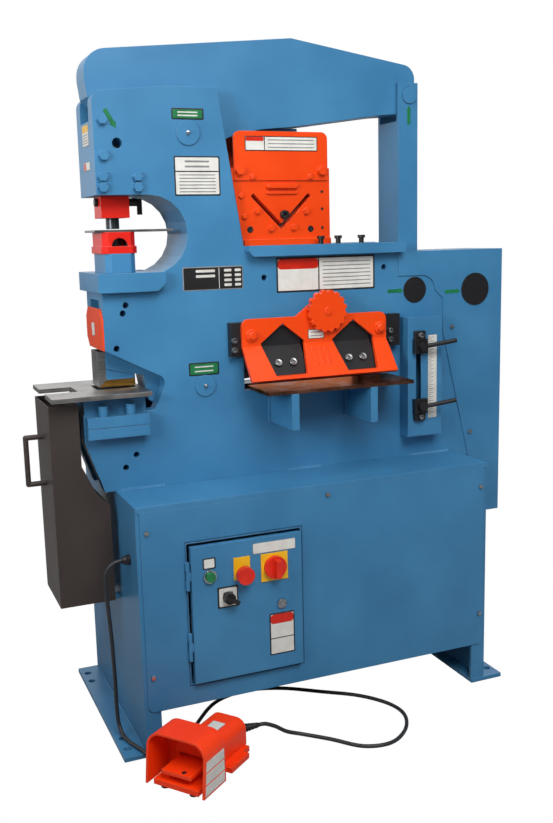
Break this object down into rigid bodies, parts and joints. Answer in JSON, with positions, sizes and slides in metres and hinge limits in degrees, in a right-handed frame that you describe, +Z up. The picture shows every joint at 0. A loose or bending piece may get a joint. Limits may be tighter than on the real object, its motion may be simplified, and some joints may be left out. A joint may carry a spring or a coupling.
{
  "type": "ironworker machine",
  "caption": "Hydraulic ironworker on a sheet-steel stand: punch, notcher, angle and flat-bar shear stations, linked arms, cylinder, control door and corded foot switch.",
  "frame": {"origin": "on the floor, at the middle of the anchor-bolt pattern under the stand", "axes": "+X to the operator's right, +Y towards the back, +Z up; the working front faces -Y"},
  "size_m": [1.226, 0.7288, 1.584],
  "materials": {
    "blue_enamel": "steel-blue stove enamel",
    "orange_enamel": "gloss orange enamel",
    "red_enamel": "gloss red enamel",
    "black_enamel": "satin black enamel",
    "brown_enamel": "satin dark brown enamel",
    "bare_steel": "bare ground steel, lightly oiled",
    "tool_steel": "hardened tool steel",
    "rod_chrome": "hard chrome",
    "brass_tool": "brass-coloured blade strip",
    "black_plastic": "black moulded plastic",
    "red_plastic": "red moulded plastic",
    "green_plastic": "green moulded plastic",
    "yellow_plate": "yellow and black legend plates, bare",
    "cord_rubber": "black rubber cable"
  },
  "bodies": {
    "machine_frame": {"stand_frame": "blue_enamel", "stand_top_plate": "blue_enamel", "stand_panels": "blue_enamel", "front_side_plate": "blue_enamel", "rear_side_plate": "blue_enamel", "frame_spacers": "blue_enamel", "ram_guide_block": "blue_enamel", "pivot_pins": "blue_enamel", "fasteners": "blue_enamel", "die_table": "blue_enamel", "die_holder": "blue_enamel", "die": "tool_steel", "punch_guards": "red_enamel", "gauge_plate": "bare_steel", "clamp_knobs": "black_plastic", "notcher_guard": "orange_enamel", "notcher_table": "bare_steel", "notcher_die_block": "blue_enamel", "angle_shear_housing": "orange_enamel", "shear_upper_blade": "tool_steel", "shear_table": "bare_steel", "table_brackets": "blue_enamel", "holddown_brackets": "black_enamel", "holddown_casting": "orange_enamel", "cylinder_guard": "blue_enamel", "cylinder_front_cover": "blue_enamel", "access_plugs": "black_enamel", "stroke_housing": "blue_enamel", "control_enclosure": "blue_enamel", "hydraulic_tank": "black_enamel", "pump_motor": "bare_steel", "foot_switch_base": "orange_enamel", "foot_switch_shield": "orange_enamel", "cord_fittings": "black_plastic", "foot_cord": "cord_rubber"},
    "lower_arm": {"lower_arm": "blue_enamel", "notcher_punch": "brass_tool", "shear_lower_blade": "tool_steel"},
    "upper_arm": {"upper_arm": "blue_enamel", "angle_shear_blade": "tool_steel"},
    "punch_ram": {"punch_ram": "bare_steel", "punch": "tool_steel"},
    "link": {"link_channel": "blue_enamel"},
    "cylinder_barrel": {"cylinder_barrel": "blue_enamel"},
    "cylinder_rod": {"cylinder_rod": "rod_chrome"},
    "control_door": {"control_door": "blue_enamel", "door_plates": "yellow_plate"},
    "door_latch": {"door_latch": "bare_steel"},
    "start_button": {"start_button": "green_plastic"},
    "estop_button": {"estop_button": "red_plastic"},
    "selector_knob": {"selector_knob": "black_plastic"},
    "disconnect_handle": {"disconnect_handle": "red_plastic"},
    "holddown_wheel": {"holddown_wheel": "orange_enamel"},
    "holddown_feet": {"holddown_feet": "black_enamel"},
    "upper_stop": {"upper_stop": "black_enamel"},
    "lower_stop": {"lower_stop": "black_enamel"},
    "upper_lever": {"upper_lever": "black_enamel"},
    "lower_lever": {"lower_lever": "black_enamel"},
    "foot_pedal": {"foot_pedal": "orange_enamel"},
    "scrap_bin": {"scrap_bin": "brown_enamel"}
  },
  "joints": [
    {"name": "lower_arm_pivot", "type": "hinge", "parent": "machine_frame", "child": "lower_arm", "pos_m": [-0.223, -0.007, 0.798], "axis": [0, -1, 0], "range_deg": [0, 9.5]},
    {"name": "upper_arm_pivot", "type": "hinge", "parent": "machine_frame", "child": "upper_arm", "pos_m": [-0.242, -0.007, 1.364], "axis": [0, -1, 0], "range_deg": [0, 9.11]},
    {"name": "punch_ram_slide", "type": "slide", "parent": "machine_frame", "child": "punch_ram", "axis": [0, 0, -1], "range_m": [0, 0.0255]},
    {"name": "link_pivot", "type": "hinge", "parent": "lower_arm", "child": "link", "pos_m": [0.335, -0.007, 0.935], "axis": [0, -1, 0], "range_deg": [-10.27, 0]},
    {"name": "cylinder_swing", "type": "hinge", "parent": "machine_frame", "child": "cylinder_barrel", "pos_m": [0.511, -0.007, 0.44], "axis": [0, -1, 0], "range_deg": [0, 2.83]},
    {"name": "rod_slide", "type": "slide", "parent": "cylinder_barrel", "child": "cylinder_rod", "axis": [0, 0, 1], "range_m": [0, 0.1207]},
    {"name": "door_hinge", "type": "hinge", "parent": "machine_frame", "child": "control_door", "pos_m": [-0.336, -0.2585, 0.325], "axis": [0, 0, -1], "range_deg": [0, 110]},
    {"name": "latch_turn", "type": "hinge", "parent": "control_door", "child": "door_latch", "pos_m": [-0.119, -0.2665, 0.312], "axis": [0, -1, 0], "range_deg": [0, 90]},
    {"name": "start_press", "type": "slide", "parent": "control_door", "child": "start_button", "axis": [0, 1, 0], "range_m": [0, 0.003], "stiffness_N_per_m": 500, "springref_m": -0.002},
    {"name": "estop_press", "type": "slide", "parent": "control_door", "child": "estop_button", "axis": [0, 1, 0], "range_m": [0, 0.005], "stiffness_N_per_m": 1500, "springref_m": -0.003},
    {"name": "selector_turn", "type": "hinge", "parent": "control_door", "child": "selector_knob", "pos_m": [-0.248, -0.2665, 0.349], "axis": [0, -1, 0], "range_deg": [-45, 45]},
    {"name": "disconnect_turn", "type": "hinge", "parent": "control_door", "child": "disconnect_handle", "pos_m": [-0.135, -0.2665, 0.402], "axis": [0, 1, 0], "range_deg": [0, 90]},
    {"name": "wheel_turn", "type": "hinge", "parent": "machine_frame", "child": "holddown_wheel", "pos_m": [0.072, -0.119, 0.958], "axis": [0, 1, 0], "range_deg": [0, 180]},
    {"name": "feet_slide", "type": "slide", "parent": "machine_frame", "child": "holddown_feet", "axis": [0, 0, -1], "range_m": [0, 0.0221]},
    {"name": "upper_stop_slide", "type": "slide", "parent": "machine_frame", "child": "upper_stop", "axis": [0, 0, 1], "range_m": [-0.055, 0.005]},
    {"name": "lower_stop_slide", "type": "slide", "parent": "machine_frame", "child": "lower_stop", "axis": [0, 0, 1], "range_m": [-0.015, 0.055]},
    {"name": "upper_lever_turn", "type": "hinge", "parent": "upper_stop", "child": "upper_lever", "pos_m": [0.3235, -0.14, 0.858], "axis": [0, -1, 0], "range_deg": [-30, 30]},
    {"name": "lower_lever_turn", "type": "hinge", "parent": "lower_stop", "child": "lower_lever", "pos_m": [0.3235, -0.14, 0.708], "axis": [0, -1, 0], "range_deg": [-30, 30]},
    {"name": "pedal_hinge", "type": "hinge", "parent": "machine_frame", "child": "foot_pedal", "pos_m": [-0.36681, -0.36728, 0.04], "axis": [0.6157, -0.788, 0], "range_deg": [0, 12], "stiffness_Nm_per_rad": 3, "springref_deg": -17.19},
    {"name": "bin_slide", "type": "slide", "parent": "machine_frame", "child": "scrap_bin", "axis": [-1, 0, 0], "range_m": [0, 0.15]}
  ],
  "couplings": [
    {"joint": "upper_arm_pivot", "follows": "lower_arm_pivot", "ratio": 0.95752},
    {"joint": "link_pivot", "follows": "lower_arm_pivot", "ratio": -1.0792},
    {"joint": "cylinder_swing", "follows": "lower_arm_pivot", "ratio": 0.29669},
    {"joint": "rod_slide", "follows": "lower_arm_pivot", "m_per_rad": 0.72687},
    {"joint": "punch_ram_slide", "follows": "lower_arm_pivot", "m_per_rad": 0.15195},
    {"joint": "feet_slide", "follows": "wheel_turn", "m_per_rad": 0.007}
  ]
}
